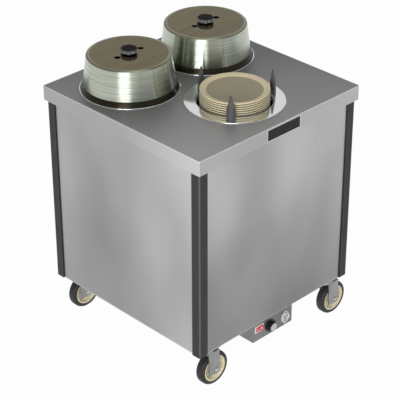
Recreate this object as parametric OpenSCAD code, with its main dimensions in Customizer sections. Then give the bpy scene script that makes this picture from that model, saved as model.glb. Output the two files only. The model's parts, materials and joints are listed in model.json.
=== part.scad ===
// Plate dispenser cart: a heated cabinet on four casters with three spring-loaded plate silos.
// Millimetres. +Z is up, -Y is the front with the controls, and the origin is on the floor
// under the middle of the cabinet.

/* [Deck] */
// Width of the deck outside the rear silos' rings, at each side
side_margin = 29; // [20:0.5:60]
// Depth of the deck in front of the front silo's ring
front_margin = 46.5; // [30:0.5:80]
// Depth of the deck behind the rear silos' rings
rear_margin = 46; // [30:0.5:80]
// Height of the deck's top face above the floor
deck_top = 923; // [860:1:1000]
// Height of the deck's down-turned flange
flange_h = 54; // [40:1:70]
// Thickness of the deck sheet
deck_sheet = 1.5; // [1:0.1:2]
// Outside radius of the deck's bends
deck_bend_r = 3; // [2:0.5:4]
// Width of the flange's return lip
flange_lip = 5; // [3:0.5:5.5]

/* [Cabinet] */
// Distance from the deck's edge in to the outer face of a panel
panel_setback = 12.4; // [11:0.2:20]
// Thickness of the panels
panel_sheet = 1.5; // [1:0.1:2.5]
// Leg of a corner post
post_leg = 40; // [34:1:44]
// Thickness of a corner post
post_t = 2; // [1.5:0.1:3]
// Thickness of the base pan
pan_sheet = 2; // [1.5:0.1:3]
// Height of the base pan's upturned flange
pan_flange_h = 30; // [20:1:45]

/* [Corner bumpers] */
// Length of each leg of a bumper, seen from outside
bumper_leg = 37; // [30:1:45]
// Thickness of a bumper
bumper_t = 4.5; // [3.5:0.1:6]
// Radius of a bumper's outer corner
bumper_r = 8; // [6:0.5:12]
// How far a bumper reaches below the panels
bumper_drop = 1.5; // [0:0.5:4]
// Depth of the grooves between a bumper's ribs
groove_depth = 0.7; // [0.4:0.1:1.2]
// Width of those grooves
groove_w = 1.4; // [0.8:0.1:2]

/* [Silos] */
// Clearance round a plate in its silo
silo_clear = 10.5; // [8:0.5:13]
// Wall of a silo tube
tube_wall = 1.5; // [1:0.1:2.5]
// Gap between the silo tubes and the base pan
tube_floor_gap = 70.5; // [60:0.5:90]
// Gap between the rings of the two rear silos
rear_ring_gap = 16; // [8:1:60]
// Gap between the front silo's ring and the ring of a rear silo
front_ring_gap = 23.6; // [8:0.2:60]
// Width of the polished ring on the deck
ring_w = 43.5; // [40:0.5:50]
// Thickness of the polished ring
ring_t = 3; // [2:0.1:4]

/* [Plate guides] */
// Distance of a guide's inner face from the silo's wall
guide_setback = 7.5; // [5:0.5:9]
// Width of a guide across
guide_w = 33; // [26:1:38]
// Depth of a guide, outwards
guide_depth = 14.5; // [12:0.5:18]
// Height of a guide above the ring
guide_h = 83; // [70:1:95]
// Turn of the first guide about the silo's axis, in degrees
guide_turn = -21; // [-40:1:0]

/* [Plates] */
// Radius of a plate's rim
plate_r = 118; // [110:0.5:120]
// Number of plates in the stack
plate_count = 13; // [2:1:13]
// Height that each plate adds to the stack
plate_pitch = 5.3; // [5:0.1:6]
// Height of one plate
plate_h = 15; // [13:0.5:18]
// Height of the top plate's rim above the deck
stack_above_deck = 47; // [35:1:60]

/* [Carriers] */
// Clearance round the carrier's plate in its silo
carrier_clear = 6.5; // [4:0.5:8]
// Thickness of the carrier's plate
carrier_t = 3; // [2:0.1:5]
// Drop from the carrier's plate to its arms
carrier_drop = 240; // [200:1:250]
// Height of the slots' lower ends above the tube's foot
slot_foot = 23.1; // [15:0.1:60]
// Width of a carrier's arm
arm_w = 12; // [8:0.5:16]
// Thickness of a carrier's arm
arm_t = 5; // [4:0.5:8]
// Side clearance of an arm in its slot
slot_gap = 1; // [0.5:0.1:2]

/* [Springs] */
// Radius of a spring over its turns
spring_r = 7; // [5:0.5:8]
// Radius of a spring's end pins
spring_pin_r = 1.5; // [1:0.1:2]

/* [Covers] */
// Distance of a cover's flared rim in from the ring's edge
cover_inset = 3.5; // [1:0.5:6]
// Height of a cover's flat top above its rim
cover_h = 124; // [115:1:140]
// Width of the flare at the skirt's foot
rim_flare = 9; // [6:0.5:10]
// How far the skirt leans in on its way up
skirt_lean = 13.5; // [9:0.5:15]
// Height of the flared rim
rim_h = 14.5; // [11:0.5:20]
// Width of the sloped shoulder round a cover's flat top
shoulder_w = 13; // [8:0.5:15]
// Thickness of a cover's sheet
cover_sheet = 1.5; // [1:0.1:2]
// Radius of the two holes in a cover's top
vent_r = 10.5; // [8:0.5:13]
// Distance of those holes from the middle
vent_x = 52.5; // [45:0.5:60]

/* [Cover knob] */
// Radius of the knob over its lobes
knob_r = 28.5; // [24:0.5:31]
// Number of lobes
knob_lobes = 8; // [5:1:12]
// Thickness of the lobed head
knob_head_t = 13; // [9:0.5:16]
// Gap between the lobed head and the cover
knob_neck_h = 5; // [3:0.5:8]

/* [Casters] */
// Radius of a wheel
wheel_r = 63.5; // [55:0.5:66]
// Width of a wheel's tread
wheel_w = 34; // [26:1:36]
// Thickness of the tyre
tyre_t = 14; // [8:0.5:18]
// Height of a caster's head above its wheel
caster_head_h = 33.5; // [30:0.5:50]
// Distance of a swivel axis in from a side panel's outer face
swivel_in_x = 62.1; // [60:0.1:90]
// Distance of a swivel axis in from the front or rear panel's outer face
swivel_in_y = 32.4; // [32:0.1:60]
// Distance from the swivel axis to the axle
trail = 26; // [20:0.5:32]
// Clearance between a wheel and a fork's leg
wheel_side_gap = 2.4; // [1.5:0.1:5]
// Thickness of a fork's legs
fork_t = 4; // [3:0.2:5]
// Radius of an axle
axle_r = 6; // [5:0.5:7]
// Thickness of a caster's top plate
caster_plate_t = 4; // [3:0.5:5]

/* [Controls] */
// Distance of the rocker switch's middle from the control box's left side
switch_in = 29.7; // [26:0.1:40]
// Distance from the rocker switch to the thermostat knob, from side to side
switch_to_dial = 57.3; // [50:0.1:70]
// Distance from the thermostat knob to the power inlet, from side to side
dial_to_inlet = 74.9; // [60:0.1:90]
// Distance of the power inlet's middle from the control box's right side
inlet_in = 36.1; // [28:0.1:45]
// Height of the control box below the base pan
control_h = 80.8; // [70:0.2:90]
// Depth of the control box
control_d = 130; // [100:1:160]
// Distance from the deck's edge in to the front of the control box
control_setback = 22.8; // [20:0.2:30]
// Thickness of the control box's sheet
control_sheet = 1.5; // [1:0.1:2]
// Height of the controls above the bottom of the box
controls_z = 34; // [30:0.5:38]
// Width of the switch's frame
switch_w = 41; // [36:0.5:42]
// Height of the switch's frame
switch_h = 27; // [24:0.5:30]
// Tilt of the rocker to each side, in degrees
rocker_tilt = 7; // [4:0.5:8]
// Radius of the thermostat knob's skirt
dial_skirt_r = 24; // [20:0.5:26]
// How far the thermostat knob stands out
dial_h = 18; // [14:0.5:24]
// Radius of the power inlet's flange
inlet_flange_r = 22; // [20:0.5:24]
// Radius of the power inlet's collar
inlet_r = 17; // [15:0.5:18]

/* [Heater] */
// Radius of the heating element's sheath
element_r = 4; // [3:0.5:6]
// Length of the element's straight runs
element_run = 300; // [240:5:360]
// Height of the element above the base pan
element_lift = 34; // [24:1:44]

/* [Hidden] */
$fn = 96;

// Overrun of a cut past the face that it opens
cut = 1;
// Running clearance of a pin in its bore, all round
run_gap = 0.05;
// Clearance of a fastener or a sliding piece, all round
free_gap = 0.3;
// Wide clearance of a hole round a tube, and between a flange and a post
wide_gap = 1;

steel = "silver";
mirror_steel = "gainsboro";
dark_rubber = "dimgray";
black = "#222222";
grey_plate = "darkgray";
beige = "#cdc3a0";
china = "#b9ad8c";

// Radii of a silo and of what stands round it
tube_r = plate_r + silo_clear;
tube_out_r = tube_r + tube_wall;
deck_hole_r = tube_out_r + wide_gap;
ring_r = tube_r + ring_w;
guide_in_r = tube_r + guide_setback;
carrier_r = tube_r - carrier_clear;
cover_rim_r = ring_r - cover_inset;
skirt_foot_r = cover_rim_r - rim_flare;
skirt_top_r = skirt_foot_r - skirt_lean;
cover_flat_r = skirt_top_r - shoulder_w;

// Places and heights that follow from the sizes above
rear_silo_x = ring_r + rear_ring_gap / 2;
silo_pitch_y = sqrt(pow(2 * ring_r + front_ring_gap, 2) - pow(rear_silo_x, 2));
deck_w = 2 * (rear_silo_x + ring_r + side_margin);
deck_d = silo_pitch_y + 2 * ring_r + front_margin + rear_margin;
front_silo_y = deck_d / 2 - front_margin - ring_r;
rear_silo_y = deck_d / 2 - rear_margin - ring_r;
panel_bottom = 2 * wheel_r + caster_head_h;
deck_under = deck_top - deck_sheet;
panel_x = deck_w / 2 - panel_setback;
panel_y = deck_d / 2 - panel_setback;
pan_top = panel_bottom + pan_sheet;
ring_top = deck_top + ring_t;
silo_places = [[0, -front_silo_y], [-rear_silo_x, rear_silo_y], [rear_silo_x, rear_silo_y]];
stack_z = deck_top + stack_above_deck - plate_h - (plate_count - 1) * plate_pitch;
arm_top = stack_z - carrier_drop;
tube_len = deck_top - pan_top - tube_floor_gap;
slot_low = deck_top - tube_len + slot_foot;
swivel_x = panel_x - swivel_in_x;
swivel_y = panel_y - swivel_in_y;
control_w = switch_in + switch_to_dial + dial_to_inlet + inlet_in;
switch_x = switch_in - control_w / 2;
dial_x = switch_x + switch_to_dial;
inlet_x = dial_x + dial_to_inlet;
cover_z = ring_top;
control_y = deck_d / 2 - control_setback;
control_bottom = panel_bottom - control_h;
controls_h = control_bottom + controls_z;

// The guides
guide_tip_w = 5;
guide_tip_depth = 5;
guide_tip_in = 1.5;
guide_shoulder_share = 0.34;
guide_shoulder_w_share = 0.85;
guide_foot_share = 0.06;
guide_stud_r = 3;
guide_stud_len = 16;
guide_nut_r = 6;
guide_nut_t = 5;

// The ring
ring_bead = 1.5;
ring_lip_h = 1;

// The carrier, whose arms reach out through slots between the panels of the tube
arm_count = 4;
arm_turn = 45;
carrier_leg_r = 5;
carrier_leg_place_share = 0.84;
spider_r = 16;
arm_reach = 14;
disc_hole_r = 18;
disc_hole_place_share = 0.55;

// The springs and the lugs that hold them
lug_t = 4;
lug_drop = 58;
lug_w = 20;
lug_gap = 0.1;
seam_gap = 0.2;
spring_place = tube_out_r + 2 * free_gap + spring_r;
lug_reach = 2 * spring_r;
spring_head_r = 3;
spring_head_t = 3;
lug_hole_r = spring_pin_r + free_gap;
spring_taper = 4;
lug_bottom = deck_top - lug_drop - lug_t;

// One plate
plate_gap = 0.1;
plate_floor = plate_pitch - plate_gap;
plate_rim_w = 20;
plate_wall_w = 5;
plate_foot_in = 27;
plate_foot_w = 4;
plate_foot_h = 1.8;
plate_wall_r = plate_r - plate_rim_w;
plate_well_r = plate_wall_r - plate_wall_w;
plate_foot_r = plate_well_r - plate_foot_in;
plate_wall_top = 9.6;
plate_body_t = 4.3;
plate_rim_t = 3.2;

// The cover
cover_shoulder_h = 5;
cover_screw_r = 4;
rim_lip = 2;

// The cover's knob and its screw
knob_lobe_r = 7.5;
knob_crown = 1.5;
knob_neck_r = 13;
knob_screw_gap = 0.1;
knob_screw_depth = 10;
knob_washer_r = 11;
knob_washer_t = 2;
knob_nut_r = 8;
knob_nut_t = 5;

// The casters
race_r = 27;
race_h = 6;
race_gap = 0.4;
fork_top = panel_bottom - caster_plate_t - race_h - race_gap;
swivel_r = 25;
swivel_h = 7;
kingpin_r = 6;
kingpin_head_gap = 2;
crown_t = 5;
leg_left = 34;
leg_right = 13;
leg_low = 16;
leg_eye_r = 18;
leg_fold = 10.6;
leg_jog = 4;
leg_flare = 1.6;
fork_w = wheel_w + 2 * (wheel_side_gap + fork_t + leg_flare);
hub_r = wheel_r - tyre_t;
tyre_edge_share = 5 / 7;
tyre_edge_r = tyre_t * tyre_edge_share;
hub_rim_in = 1.5;
hub_rim_t = 7;
hub_web_w = 13;
hub_web_slope = 5;
hub_boss_r = 14;
hub_boss_gap = 1.5;
axle_head_r = 8;
axle_head_t = 3;
caster_plate_w = 92;
caster_plate_d = 60;
caster_plate_corner = 8;
caster_bolt_x = 73;
caster_bolt_y = 44;
caster_bolt_r = 4;
caster_bolt_head_r = 6.5;
caster_bolt_head_t = 4;

// The controls
control_lip = 12;
switch_frame_t = 2;
switch_body_w = 36;
switch_body_h = 22;
switch_body_d = 26;
switch_lift = 15.6;
rocker_w = 32;
rocker_h = 19;
rocker_end_gap = 1;
rocker_side_gap = 0.5;
rocker_deep = 3;
rocker_back = 2.5;
rocker_mid = 6;
rocker_end = 8;
rocker_floor = 6;
rocker_pin_r = 1.5;
rocker_pin_len = 1.4;
dial_skirt_t = 2.5;
dial_body_r = 18.5;
dial_face_r = 17;
dial_cap_r = 15.5;
dial_cap_t = 1;
dial_flutes = 18;
dial_flute_r = 1.2;
dial_shaft_r = 3;
dial_shaft_len = 26;
dial_gap = 0.6;
thermo_w = 34;
thermo_h = 30;
thermo_d = 22;
thermo_bush_r = 5;
inlet_flange_t = 2;
inlet_ear_z = 21;
inlet_ear_r = 7;
inlet_screw_r = 2;
inlet_h = 7;
inlet_lip = 2.5;
inlet_core_r = 11;
inlet_body_d = 24;
blade_w = 6.5;
blade_t = 1.6;
blade_out = 6;
blade_x = 6;
ground_r = 2.4;
ground_z = 5.5;
blade_rise = 3;

// The heater
element_runs = 4;
terminal_in = 9;
element_pitch = (control_w - 2 * terminal_in) / (element_runs - 1);
element_z = pan_top + element_lift;
element_elbow_r = 12;
element_start_share = 0.8;
element_start_y = -control_y + control_d * element_start_share;
terminal_drop = 20;
bracket_t = 2;
bracket_foot = 16;
bracket_over = 8;
bracket_place_shares = [0.15, 0.85];

module ring_of(count, start = 0) {
    for (i = [0 : count - 1]) rotate([0, 0, start + i * 360 / count]) children();
}

module four_corners(x, y) {
    for (sx = [-1, 1], sy = [-1, 1]) translate([sx * x, sy * y, 0]) children();
}

module at_silo(i) {
    translate([silo_places[i][0], silo_places[i][1], 0]) children();
}

module centred_box(w, d, h) {
    translate([-w / 2, -d / 2, 0]) cube([w, d, h]);
}

// Box with rounded upright edges and a rounded top, as a sheet bends over it
module bent_box(w, d, h, r) {
    x = w / 2 - r;
    y = d / 2 - r;
    centred_box(w - 2 * r, d - 2 * r, h);
    centred_box(w, d - 2 * r, h - r);
    centred_box(w - 2 * r, d, h - r);
    four_corners(x, y) {
        cylinder(r = r, h = h - r);
        translate([0, 0, h - r]) sphere(r = r);
    }
    for (s = [-1, 1]) {
        translate([-x, s * y, h - r]) rotate([0, 90, 0]) cylinder(r = r, h = 2 * x);
        translate([s * x, y, h - r]) rotate([90, 0, 0]) cylinder(r = r, h = 2 * y);
    }
}

module rounded_plate(w, d, t, r) {
    centred_box(w, d - 2 * r, t);
    centred_box(w - 2 * r, d, t);
    four_corners(w / 2 - r, d / 2 - r) cylinder(r = r, h = t);
}

module deck() {
    color(steel) difference() {
        translate([0, 0, deck_top - flange_h]) bent_box(deck_w, deck_d, flange_h, deck_bend_r);
        translate([0, 0, deck_top - flange_h + deck_sheet])
            centred_box(deck_w - 2 * deck_sheet, deck_d - 2 * deck_sheet, flange_h - 2 * deck_sheet);
        translate([0, 0, deck_top - flange_h - cut])
            centred_box(deck_w - 2 * flange_lip, deck_d - 2 * flange_lip, deck_sheet + 2 * cut);
        for (i = [0 : 2]) at_silo(i) {
            translate([0, 0, deck_under - cut]) cylinder(r = deck_hole_r, h = deck_sheet + 2 * cut);
            ring_of(3, guide_turn) translate([guide_in_r + guide_depth / 2, 0, deck_under - cut])
                cylinder(r = guide_stud_r + free_gap, h = deck_sheet + 2 * cut);
        }
    }
}

// Front and rear panels run the full width; the side panels fit between them
module wide_panel(side) {
    color(steel) translate([0, side * (panel_y - panel_sheet / 2), panel_bottom])
        centred_box(2 * panel_x, panel_sheet, deck_under - panel_bottom);
}

module side_panel(side) {
    color(steel) translate([side * (panel_x - panel_sheet / 2), 0, panel_bottom])
        centred_box(panel_sheet, 2 * (panel_y - panel_sheet), deck_under - panel_bottom);
}

module front_panel() { wide_panel(-1); }
module rear_panel() { wide_panel(1); }
module left_panel() { side_panel(-1); }
module right_panel() { side_panel(1); }

module base_pan() {
    x = panel_x - panel_sheet;
    y = panel_y - panel_sheet;
    color(grey_plate) difference() {
        union() {
            translate([0, 0, panel_bottom]) centred_box(2 * x, 2 * y, pan_sheet);
            for (s = [-1, 1]) {
                translate([s * (x - pan_sheet / 2), 0, panel_bottom])
                    centred_box(pan_sheet, 2 * (y - post_leg - wide_gap), pan_flange_h);
                translate([0, s * (y - pan_sheet / 2), panel_bottom])
                    centred_box(2 * (x - post_leg - wide_gap), pan_sheet, pan_flange_h);
            }
        }
        four_corners(swivel_x, swivel_y) translate([0, 0, panel_bottom - cut])
            four_corners(caster_bolt_x / 2, caster_bolt_y / 2)
                cylinder(r = caster_bolt_r + free_gap, h = pan_sheet + 2 * cut);
        for (i = [0, element_runs - 1])
            translate([element_x(i), element_start_y - element_elbow_r, panel_bottom - cut])
                cylinder(r = element_r + wide_gap, h = pan_sheet + 2 * cut);
    }
}

module corner_posts() {
    x = panel_x - panel_sheet;
    y = panel_y - panel_sheet;
    color(grey_plate) for (sx = [-1, 1], sy = [-1, 1]) scale([sx, sy, 1])
        translate([x, y, pan_top]) difference() {
            translate([-post_leg, -post_leg, 0]) cube([post_leg, post_leg, deck_under - pan_top]);
            translate([-post_leg - cut, -post_leg - cut, -cut])
                cube([post_leg + cut - post_t, post_leg + cut - post_t, deck_under - pan_top + 2 * cut]);
        }
}

// Section of a bumper: an L with a rounded outer corner and shallow grooves along its faces
module bumper_section() {
    groove_place_shares = [0.42, 0.68];
    difference() {
        union() {
            square([bumper_leg, bumper_leg - bumper_r]);
            square([bumper_leg - bumper_r, bumper_leg]);
            translate([bumper_leg - bumper_r, bumper_leg - bumper_r]) circle(r = bumper_r);
        }
        translate([-cut, -cut]) square([bumper_leg + cut - bumper_t, bumper_leg + cut - bumper_t]);
        for (s = groove_place_shares) {
            translate([bumper_leg - groove_depth, bumper_leg * (1 - s)])
                square([groove_depth + cut, groove_w]);
            translate([bumper_leg * (1 - s), bumper_leg - groove_depth])
                square([groove_w, groove_depth + cut]);
        }
    }
}

module bumper(sx, sy) {
    low = panel_bottom - bumper_drop;
    color(dark_rubber) scale([sx, sy, 1])
        translate([panel_x + bumper_t - bumper_leg, panel_y + bumper_t - bumper_leg, low])
            linear_extrude(deck_under - low) bumper_section();
}

module bumper_front_left() { bumper(-1, -1); }
module bumper_front_right() { bumper(1, -1); }
module bumper_rear_left() { bumper(-1, 1); }
module bumper_rear_right() { bumper(1, 1); }

// Polished ring: flat, with a rounded outer bead and a low rolled lip round the silo's mouth
module ring(i) {
    color(mirror_steel) at_silo(i) translate([0, 0, deck_top]) difference() {
        rotate_extrude() {
            translate([tube_out_r, 0]) square([ring_r - ring_bead - tube_out_r, ring_t]);
            translate([ring_r - ring_bead, 0]) square([ring_bead, ring_t - ring_bead]);
            translate([ring_r - ring_bead, ring_t - ring_bead]) circle(r = ring_bead);
            translate([tube_out_r + ring_bead, ring_t + ring_lip_h - ring_bead]) circle(r = ring_bead);
        }
        ring_of(3, guide_turn) translate([guide_in_r + guide_depth / 2, 0, -cut])
            cylinder(r = guide_stud_r + free_gap, h = ring_t + 2 * cut);
    }
}

module ring_front() { ring(0); }
module ring_left() { ring(1); }
module ring_right() { ring(2); }

// One rolled panel of a silo tube: panels meet at open seams in line with the slots for the arms
module tube_panel() {
    slot_high = arm_top + free_gap;
    slot_w = arm_w + 2 * slot_gap;
    seam_turn = asin(seam_gap / tube_r);
    difference() {
        translate([0, 0, deck_top - tube_len]) rotate([0, 0, seam_turn / 2])
            rotate_extrude(angle = 360 / arm_count - seam_turn)
                translate([tube_r, 0]) square([tube_wall, tube_len]);
        for (edge = [0, 360 / arm_count]) rotate([0, 0, edge])
            translate([tube_r - tube_wall, -slot_w / 2, slot_low])
                cube([3 * tube_wall, slot_w, slot_high - slot_low]);
    }
}

// Lug across a seam of the tube, from which a spring hangs
module spring_lug() {
    difference() {
        translate([tube_r, -lug_w / 2, lug_bottom])
            cube([tube_wall + 2 * free_gap + lug_reach, lug_w, lug_t]);
        translate([0, 0, lug_bottom - cut]) cylinder(r = tube_out_r + lug_gap, h = lug_t + 2 * cut);
        translate([spring_place, 0, lug_bottom - cut]) cylinder(r = lug_hole_r, h = lug_t + 2 * cut);
    }
}

module tube(i) {
    color(steel) at_silo(i) ring_of(arm_count, arm_turn) {
        tube_panel();
        spring_lug();
    }
}

module tube_front() { tube(0); }
module tube_left() { tube(1); }
module tube_right() { tube(2); }

// Level section of a guide: flat inside, rounded outside
module guide_section(w, depth) {
    intersection() {
        translate([0, -w / 2]) square([depth, w]);
        scale([depth, w / 2]) circle(r = 1, $fn = 32);
    }
}

// One guide: an upright inner face, sides and a rounded back that taper to the tip
module guide() {
    foot = guide_h * guide_foot_share;
    shoulder = guide_h * guide_shoulder_share;
    translate([guide_in_r, 0, ring_top]) hull() {
        linear_extrude(foot) guide_section(guide_w, guide_depth);
        translate([0, 0, shoulder]) linear_extrude(foot)
            guide_section(guide_w * guide_shoulder_w_share, guide_depth * guide_shoulder_w_share);
        translate([guide_tip_in, 0, guide_h - foot / 2])
            linear_extrude(foot / 2) guide_section(guide_tip_w, guide_tip_depth);
    }
    translate([guide_in_r + guide_depth / 2, 0, ring_top - guide_stud_len])
        cylinder(r = guide_stud_r, h = guide_stud_len);
    translate([guide_in_r + guide_depth / 2, 0, deck_under - guide_nut_t])
        cylinder(r = guide_nut_r, h = guide_nut_t, $fn = 6);
}

module guides(i) {
    color(black) at_silo(i) ring_of(3, guide_turn) guide();
}

module guides_front() { guides(0); }
module guides_left() { guides(1); }
module guides_right() { guides(2); }

// Carrier: the plate on which dishes stand, its legs and a spider whose arms reach out of the tube
module carrier(i) {
    leg_place = carrier_r * carrier_leg_place_share;
    color(steel) at_silo(i) {
        difference() {
            translate([0, 0, stack_z - carrier_t]) cylinder(r = carrier_r, h = carrier_t);
            translate([0, 0, stack_z - carrier_t - cut])
                ring_of(3, guide_turn) translate([carrier_r * disc_hole_place_share, 0, 0])
                    cylinder(r = disc_hole_r, h = carrier_t + 2 * cut);
        }
        translate([0, 0, arm_top - arm_t]) cylinder(r = spider_r, h = arm_t);
        ring_of(arm_count, arm_turn) {
            translate([leg_place, 0, arm_top - cut])
                cylinder(r = carrier_leg_r, h = carrier_drop - carrier_t + 2 * cut);
            difference() {
                translate([0, -arm_w / 2, arm_top - arm_t])
                    cube([spring_place + arm_reach / 2, arm_w, arm_t]);
                translate([spring_place, 0, arm_top - arm_t - cut])
                    cylinder(r = lug_hole_r, h = arm_t + 2 * cut);
            }
        }
    }
}

module carrier_front() { carrier(0); }
module carrier_left() { carrier(1); }
module carrier_right() { carrier(2); }

// Close-wound extension spring between a lug and an arm, held by a headed pin at each end
module spring() {
    length = lug_bottom - arm_top;
    translate([0, 0, arm_top]) {
        translate([0, 0, spring_taper]) cylinder(r = spring_r, h = length - 2 * spring_taper);
        cylinder(r1 = spring_pin_r, r2 = spring_r, h = spring_taper);
        translate([0, 0, length - spring_taper])
            cylinder(r1 = spring_r, r2 = spring_pin_r, h = spring_taper);
        translate([0, 0, -arm_t - spring_head_t]) {
            cylinder(r = spring_pin_r, h = length + arm_t + lug_t + 2 * spring_head_t);
            cylinder(r = spring_head_r, h = spring_head_t);
            translate([0, 0, length + arm_t + lug_t + spring_head_t])
                cylinder(r = spring_head_r, h = spring_head_t);
        }
    }
}

module springs(i) {
    color(mirror_steel) at_silo(i) ring_of(arm_count, arm_turn) translate([spring_place, 0, 0]) spring();
}

module springs_front() { springs(0); }
module springs_left() { springs(1); }
module springs_right() { springs(2); }

// Half section of a plate: foot, flat well, short wall and a rising rim with a rounded edge
module plate_section() {
    rim_edge = plate_rim_t / 2;
    polygon([[0, plate_floor], [0, plate_foot_h], [plate_well_r, plate_foot_h],
        [plate_wall_r, plate_wall_top - plate_body_t], [plate_r - rim_edge, plate_h - plate_rim_t],
        [plate_r - rim_edge, plate_h], [plate_wall_r, plate_wall_top], [plate_well_r, plate_floor]]);
    translate([plate_r - rim_edge, plate_h - rim_edge]) circle(r = rim_edge);
    translate([plate_foot_r - plate_foot_w, 0]) square([plate_foot_w, plate_foot_h + cut]);
}

module plates() {
    color(china) at_silo(0) for (k = [0 : plate_count - 1])
        translate([0, 0, stack_z + k * plate_pitch]) rotate_extrude() plate_section();
}

// Half section of a cover: flared rim, conical skirt, sloped shoulder and flat top
module cover_section() {
    low = cover_h - cover_shoulder_h;
    wide = skirt_top_r - cover_flat_r;
    slim = cover_sheet;
    steps = [0 : 15 : 90];
    polygon(concat([[cover_rim_r - rim_lip, 0], [cover_rim_r, 0], [cover_rim_r, rim_lip],
        [skirt_foot_r + rim_lip, rim_h], [skirt_foot_r, rim_h + rim_lip]],
        [for (a = steps) [cover_flat_r + wide * cos(a), low + cover_shoulder_h * sin(a)]],
        [[0, cover_h], [0, cover_h - slim]],
        [for (a = steps) [cover_flat_r + (wide - slim) * sin(a), low + (cover_shoulder_h - slim) * cos(a)]],
        [[skirt_foot_r - slim, rim_h + rim_lip], [skirt_foot_r + rim_lip - slim, rim_h - slim]]));
}

module cover(i) {
    color(steel) at_silo(i) translate([0, 0, cover_z]) difference() {
        rotate_extrude() cover_section();
        for (s = [-1, 1]) translate([s * vent_x, 0, cover_h - cover_sheet - cut])
            cylinder(r = vent_r, h = cover_sheet + 2 * cut);
        translate([0, 0, cover_h - cover_sheet - cut])
            cylinder(r = cover_screw_r + free_gap, h = cover_sheet + 2 * cut);
    }
}

module cover_left() { cover(1); }
module cover_right() { cover(2); }

// Lobed knob: a notched head with a crowned top on a round neck
module cover_knob(i) {
    head_z = cover_z + cover_h + knob_neck_h;
    color(black) at_silo(i) difference() {
        union() {
            translate([0, 0, head_z]) cylinder(r = knob_r, h = knob_head_t - knob_crown);
            translate([0, 0, head_z + knob_head_t - knob_crown])
                cylinder(r1 = knob_r, r2 = knob_r - knob_crown, h = knob_crown);
            translate([0, 0, cover_z + cover_h]) cylinder(r = knob_neck_r, h = knob_neck_h + cut);
        }
        ring_of(knob_lobes, 180 / knob_lobes) translate([knob_r + knob_lobe_r / 2, 0, head_z - cut])
            cylinder(r = knob_lobe_r, h = knob_head_t + 2 * cut);
        translate([0, 0, cover_z + cover_h - cut])
            cylinder(r = cover_screw_r + knob_screw_gap, h = knob_screw_depth + 2 * cut);
    }
}

module cover_knob_left() { cover_knob(1); }
module cover_knob_right() { cover_knob(2); }

// Screw from below that holds the knob: threaded end, washer and head
module knob_screw(i) {
    under = cover_z + cover_h - cover_sheet;
    color(grey_plate) at_silo(i) {
        translate([0, 0, under - knob_washer_t - knob_nut_t])
            cylinder(r = cover_screw_r, h = knob_nut_t + knob_washer_t + cover_sheet + knob_screw_depth);
        translate([0, 0, under - knob_washer_t]) cylinder(r = knob_washer_r, h = knob_washer_t);
        translate([0, 0, under - knob_washer_t - knob_nut_t])
            cylinder(r = knob_nut_r, h = knob_nut_t, $fn = 6);
    }
}

module knob_screw_left() { knob_screw(1); }
module knob_screw_right() { knob_screw(2); }

// Caster top plates with their upper bearing races
module caster_plates() {
    low = panel_bottom - caster_plate_t;
    color(grey_plate) four_corners(swivel_x, swivel_y) difference() {
        union() {
            translate([0, 0, low])
                rounded_plate(caster_plate_w, caster_plate_d, caster_plate_t, caster_plate_corner);
            translate([0, 0, low - race_h]) cylinder(r = race_r, h = race_h + cut);
        }
        translate([0, 0, low - race_h - cut])
            cylinder(r = kingpin_r + run_gap, h = race_h + caster_plate_t + 2 * cut);
        translate([0, 0, low - cut]) four_corners(caster_bolt_x / 2, caster_bolt_y / 2)
            cylinder(r = caster_bolt_r + free_gap, h = caster_plate_t + 2 * cut);
    }
}

module caster_bolts() {
    grip = caster_plate_t + pan_sheet;
    color(grey_plate) four_corners(swivel_x, swivel_y)
        four_corners(caster_bolt_x / 2, caster_bolt_y / 2)
            translate([0, 0, panel_bottom - caster_plate_t - caster_bolt_head_t]) {
                cylinder(r = caster_bolt_r, h = grip + 2 * caster_bolt_head_t);
                cylinder(r = caster_bolt_head_r, h = caster_bolt_head_t, $fn = 6);
                translate([0, 0, caster_bolt_head_t + grip])
                    cylinder(r = caster_bolt_head_r, h = caster_bolt_head_t, $fn = 6);
            }
}

module at_caster(sx, sy) {
    translate([sx * swivel_x, sy * swivel_y, 0]) children();
}

module at_axle(sx, sy) {
    at_caster(sx, sy) translate([trail, 0, wheel_r]) rotate([90, 0, 0]) children();
}

// Outline of a fork leg seen from the side, with the axle at its origin
module leg_outline(high) {
    difference() {
        union() {
            translate([-leg_left, -leg_low]) square([leg_left, leg_low + high]);
            square([leg_right, high]);
            circle(r = leg_eye_r);
        }
        translate([-leg_left, -2 * leg_eye_r - leg_low]) square([2 * leg_left, 2 * leg_eye_r]);
    }
}

// Section of a fork leg seen from above: folded along a line beside the axle
module leg_section() {
    far = leg_eye_r + cut;
    near = leg_left + cut;
    polygon([[-near, 0], [-leg_fold - leg_jog, 0], [-leg_fold, leg_flare], [far, leg_flare],
        [far, leg_flare + fork_t], [-leg_fold, leg_flare + fork_t], [-leg_fold - leg_jog, fork_t],
        [-near, fork_t]]);
}

module fork_leg(side, high) {
    scale([1, side, 1]) translate([0, fork_w / 2 - fork_t - leg_flare, 0]) intersection() {
        translate([0, 2 * fork_t + leg_flare, 0]) rotate([90, 0, 0])
            linear_extrude(4 * fork_t + leg_flare) leg_outline(high);
        translate([0, 0, -2 * leg_eye_r]) linear_extrude(4 * leg_eye_r + high) leg_section();
    }
}

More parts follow.
